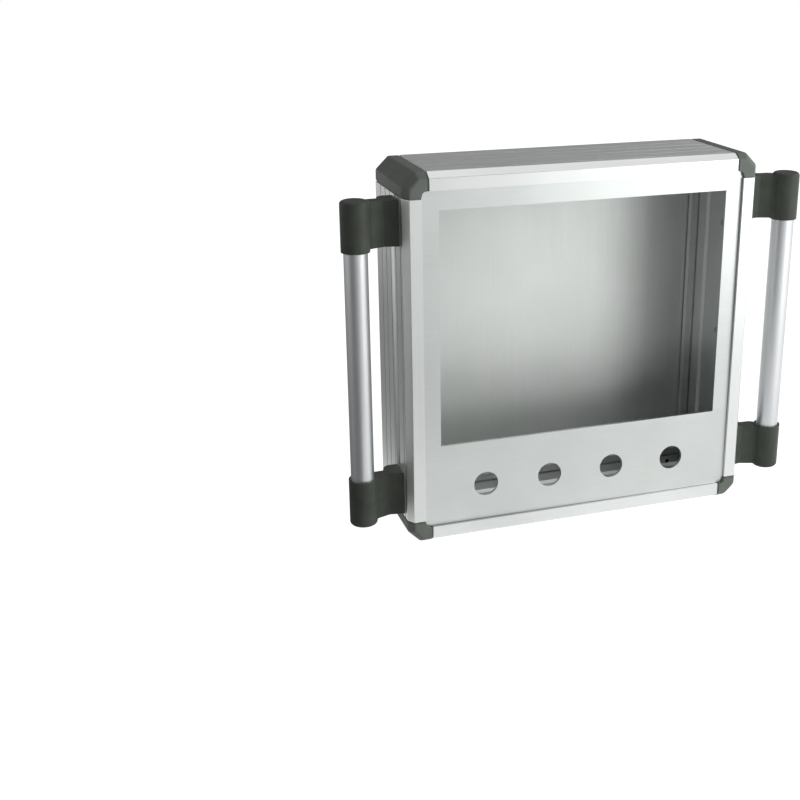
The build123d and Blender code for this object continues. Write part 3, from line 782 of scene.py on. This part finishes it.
@dataclass
class RearDoor(Assembly):
    """Rear door with its seal, hinges and latches."""

    hinge_screw: Screw = Screw(
        outline_mm=((2.7, 0.0), (2.8, -0.1), (2.0, -0.9), (2.0, -3.4), (0.0, -3.4)),
        key=Key.CROSS,
        key_width_mm=3.2,
        key_depth_mm=1.3,
    )
    cam_screw: Screw = Screw(
        outline_mm=(
            (4.2, 0.0),
            (4.8, -0.3),
            (5.0, -0.9),
            (5.0, -2.5),
            (2.5, -2.5),
            (2.5, -10.5),
            (0.0, -10.5),
        ),
        key=Key.CROSS,
        key_width_mm=4.6,
        key_depth_mm=1.8,
    )
    screws: list[bpy.types.Object] = field(default_factory=list)

    def build(self) -> None:
        """Cut the recesses of the cam screws and of the hinge screws."""
        self.screws = [
            screws_in_place(f"latch_cam_screw_{level}", self.cam_screw, Vector((0, -1, 0)))
            for level in DOOR_LEVELS
        ]
        self.screws += [
            screws_in_place(f"hinge_screws_{body}", self.hinge_screw, Vector((0, 1, 0)))
            for body in ("frame", "door")
        ]

    def dress(self) -> None:
        """Finish the door, its seal, its hinges and its latches."""
        paint_nodes(("rear_door",), MILL_FINISH_SHEET.build())
        paint_nodes(("door_gasket",), DOOR_SEAL.build())
        hinge = ZINC_HINGE.build()
        latch = CHROME_LATCH.build()
        zinc = ZINC_DOOR_SCREW.build()
        for level in DOOR_LEVELS:
            paint_nodes((f"hinge_frame_leaf_{level}", f"hinge_door_leaf_{level}"), hinge)
            paint_nodes((f"latch_housing_{level}", f"latch_core_{level}"), latch)
            paint_nodes((f"hinge_pin_{level}", f"latch_nut_{level}", f"latch_cam_{level}"), zinc)
        for screw in self.screws:
            paint(screw, zinc)


@dataclass
class Handles(Assembly):
    """Two grab handles: tubes in moulded brackets."""

    wall_screw: Screw = Screw(
        outline_mm=(
            (3.6, 0.0),
            (4.2, -0.2),
            (4.5, -0.8),
            (4.5, -3.0),
            (2.5, -3.0),
            (2.5, -14.0),
            (0.0, -14.0),
        ),
        key=Key.CROSS,
        key_width_mm=4.4,
        key_depth_mm=1.8,
    )
    tube_screw: Screw = Screw(
        outline_mm=((1.8, 0.0), (2.0, -0.2), (2.0, -3.5), (1.7, -3.8), (0.0, -3.8)),
        key=Key.HEXAGON,
        key_width_mm=2.0,
        key_depth_mm=1.8,
    )
    screws: list[bpy.types.Object] = field(default_factory=list)

    def build(self) -> None:
        """Cut the recesses of the screws through the wall and of those that hold the tubes."""
        for side, inwards in ((Side.LEFT, 1), (Side.RIGHT, -1)):
            towards_middle = Vector((inwards, 0, 0))
            self.screws += [
                screws_in_place(f"handle_screws_{side.value}", self.wall_screw, towards_middle),
                screws_in_place(f"tube_screws_{side.value}", self.tube_screw, Vector((0, 1, 0))),
            ]

    def dress(self) -> None:
        """Finish tubes, brackets and screws."""
        tube = ANODISED_TUBE.build()
        bracket = BRACKET_POLYAMIDE.build()
        zinc = ZINC_HANDLE_SCREW.build()
        for side in Side:
            paint_nodes((f"handle_tube_{side.value}",), tube)
            paint_nodes(tuple(f"handle_bracket_{side.value}_{level}" for level in FRAME_LEVELS), bracket)
        for screw in self.screws:
            paint(screw, zinc)


def studio_plane(name: str, size: Pair, place: Matrix) -> bpy.types.Object:
    """Make a flat plane that belongs to the studio.

    Args:
        name: name of the object.
        size: width and height.
        place: where it stands.

    Returns:
        The plane's object.
    """
    shape = bmesh.new()
    bmesh.ops.create_grid(shape, x_segments=1, y_segments=1, size=0.5)
    bmesh.ops.scale(shape, vec=(size[0], size[1], 1.0), verts=shape.verts)
    bmesh.ops.transform(shape, matrix=place, verts=shape.verts)
    mesh = bpy.data.meshes.new(name)
    shape.to_mesh(mesh)
    shape.free()
    plane = bpy.data.objects.new(name, mesh)
    bpy.context.scene.collection.objects.link(plane)
    return plane


@dataclass(frozen=True)
class SoftBox:
    """Soft box that faces a point, the middle of the enclosure."""

    name: str
    middle: Point
    size: Pair
    watts: float
    aim: Point = (0.0, 0.0, 0.16)

    def build(self) -> None:
        """Hang the lamp."""
        data = bpy.data.lights.new(self.name, "AREA")
        data.shape = "RECTANGLE"
        data.size, data.size_y = self.size
        data.energy = self.watts
        lamp = bpy.data.objects.new(self.name, data)
        away = Vector(self.middle) - Vector(self.aim)
        turn = away.to_track_quat("Z", "Y").to_matrix().to_4x4()
        lamp.matrix_world = Matrix.Translation(self.middle) @ turn
        bpy.context.scene.collection.objects.link(lamp)


@dataclass(frozen=True)
class Card:
    """Grey card that reflections and soft light see, and the camera doesn't.

    Its level is its brightness, 1 being white. A standing card is turned about the vertical from facing
    the front; a card with no turn lies flat.
    """

    name: str
    middle: Point
    size: Pair
    level: float
    turn_degrees: float | None = None

    def build(self) -> None:
        """Set the card up."""
        place = Matrix.Translation(self.middle)
        if self.turn_degrees is not None:
            about_vertical = Matrix.Rotation(math.radians(self.turn_degrees), 4, "Z")
            place = place @ about_vertical @ UPRIGHT
        card = studio_plane(self.name, self.size, place)
        card.visible_camera = False
        card.visible_shadow = False
        material, tree = new_material(f"{self.name}_paper")
        glow = add_node(tree, "ShaderNodeEmission", {"Color": WHITE, "Strength": self.level})
        add_node(tree, "ShaderNodeOutputMaterial", {"Surface": glow.outputs[0]})
        card.data.materials.append(material)


# A lying card is this far above the floor.
CARD_LIFT = 0.8 * MM

# The key lights the front and draws the bright part of the door; the low one lights the lower front.
SOFT_BOXES = (
    SoftBox("key_softbox", middle=(1.25, -0.95, 0.7), size=(1.15, 1.15), watts=10.2),
    SoftBox("front_softbox", middle=(0.95, -1.4, 0.2), size=(0.8, 0.4), watts=2.2),
)

# Standing cards keep the white room out of the top, the left and the front; those on the table darken
# what the left side, the plate's lower part and the rims show of it.
CARDS = (
    Card("back_card", middle=(0.3, 1.2, 0.85), size=(3.0, 1.1), level=0.15, turn_degrees=0.0),
    Card("front_left_flag", middle=(-0.8, -0.95, 0.7), size=(1.55, 1.4), level=0.2, turn_degrees=-58.0),
    Card("front_upper_flag", middle=(0.1, -1.6, 0.8), size=(1.2, 1.2), level=0.1, turn_degrees=0.0),
    Card("table_card_left", middle=(-0.71, -0.37, CARD_LIFT), size=(0.99, 0.87), level=0.18),
    Card("table_card_back_left", middle=(-0.71, 0.63, CARD_LIFT), size=(0.99, 1.13), level=0.16),
    Card("table_card_front", middle=(-0.08, -0.55, CARD_LIFT), size=(0.26, 0.5), level=0.6),
)


@dataclass
class Studio:
    """Camera, white room and floor, soft boxes and grey cards.

    The camera's numbers are those of the camera that took the photograph, solved from the frame's edges.
    Levels are brightnesses, 1 being white.
    """

    azimuth: float = math.radians(19.0778)
    elevation: float = math.radians(18.4766)
    roll: float = math.radians(-0.0879)
    distance: float = 1055.93 * MM
    target: Point = (-93.125 * MM, -45.0 * MM, 171.518 * MM)
    focal_pixels: float = 1250.806
    image_pixels: float = 800.0
    principal_point: Pair = (484.172, 351.458)
    sensor_mm: float = 36.0
    nearest_seen: float = 10.0 * MM
    fill_level: float = 0.15
    floor_side: float = 12.0
    floor_colour: str = "f2f2f2"
    floor_roughness: float = 0.9
    floor_glow: float = 0.96
    floor_mirror_glow: float = 0.7

    def camera(self) -> None:
        """Stand the camera where the photograph was taken from."""
        level_right = Vector((math.cos(self.azimuth), -math.sin(self.azimuth), 0.0))
        level_ahead = Vector((math.sin(self.azimuth), math.cos(self.azimuth), 0.0))
        forward = level_ahead * math.cos(self.elevation) - Vector((0, 0, math.sin(self.elevation)))
        level_down = forward.cross(level_right)
        right = level_right * math.cos(self.roll) + level_down * math.sin(self.roll)
        down = level_down * math.cos(self.roll) - level_right * math.sin(self.roll)
        data = bpy.data.cameras.new("photo_camera")
        data.sensor_width = self.sensor_mm
        data.lens = self.focal_pixels * self.sensor_mm / self.image_pixels
        data.shift_x = (self.image_pixels / 2 - self.principal_point[0]) / self.image_pixels
        data.shift_y = (self.principal_point[1] - self.image_pixels / 2) / self.image_pixels
        data.clip_start = self.nearest_seen
        camera = bpy.data.objects.new("photo_camera", data)
        turn = Matrix((right, -down, -forward)).transposed().to_4x4()
        place = Vector(self.target) - forward * self.distance
        camera.matrix_world = Matrix.Translation(place) @ turn
        bpy.context.scene.collection.objects.link(camera)
        bpy.context.scene.camera = camera

    def world(self) -> None:
        """Fill the room with weak even light, before a white background that metal shows too."""
        world = bpy.data.worlds.new("white_studio")
        bpy.context.scene.world = world
        world.use_nodes = True
        tree = world.node_tree
        tree.nodes.clear()
        path = add_node(tree, "ShaderNodeLightPath")
        seen = path.outputs["Is Camera Ray"]
        for kind in ("Is Glossy Ray", "Is Transmission Ray"):
            either = {0: seen, 1: path.outputs[kind]}
            seen = add_node(tree, "ShaderNodeMath", either, operation="MAXIMUM").outputs[0]
        strength = add_node(
            tree, "ShaderNodeMapRange", {"Value": seen, "To Min": self.fill_level, "To Max": 1.0}
        ).outputs[0]
        room = add_node(tree, "ShaderNodeBackground", {"Color": WHITE, "Strength": strength})
        add_node(tree, "ShaderNodeOutputWorld", {"Surface": room.outputs[0]})

    def floor(self) -> None:
        """Lay a matt white floor that keeps the object's soft shadow."""
        side = self.floor_side
        floor = studio_plane("studio_floor", (side, side), Matrix.Identity(4))
        material, tree = new_material("white_studio_floor")
        path = add_node(tree, "ShaderNodeLightPath")
        mirrored = add_node(
            tree,
            "ShaderNodeMath",
            {0: path.outputs["Is Glossy Ray"], 1: path.outputs["Is Transmission Ray"]},
            operation="MAXIMUM",
        ).outputs[0]
        direct = add_node(
            tree,
            "ShaderNodeMath",
            {0: path.outputs["Is Camera Ray"], 1: self.floor_glow},
            operation="MULTIPLY",
        ).outputs[0]
        glow = add_node(
            tree,
            "ShaderNodeMath",
            {0: mirrored, 1: self.floor_mirror_glow, 2: direct},
            operation="MULTIPLY_ADD",
        ).outputs[0]
        shader = add_node(
            tree,
            "ShaderNodeBsdfPrincipled",
            {
                "Base Color": linear(self.floor_colour),
                "Roughness": self.floor_roughness,
                "Specular IOR Level": 0.0,
                "Emission Color": WHITE,
                "Emission Strength": glow,
            },
        )
        add_node(tree, "ShaderNodeOutputMaterial", {"Surface": shader.outputs[0]})
        floor.data.materials.append(material)

    def build(self) -> None:
        """Set up the whole studio."""
        bpy.context.scene.view_settings.view_transform = "Standard"
        self.camera()
        self.world()
        self.floor()
        for fitting in (*SOFT_BOXES, *CARDS):
            fitting.build()


def main() -> None:
    """Set up the studio, and build and dress the enclosure."""
    logging.basicConfig(level=logging.INFO, format="%(name)s: %(message)s")
    Studio().build()
    for assembly in (FrameAssembly(), FrontPanel(), RearDoor(), Handles()):
        assembly.build()
        assembly.dress()


if __name__ == "__main__":
    main()
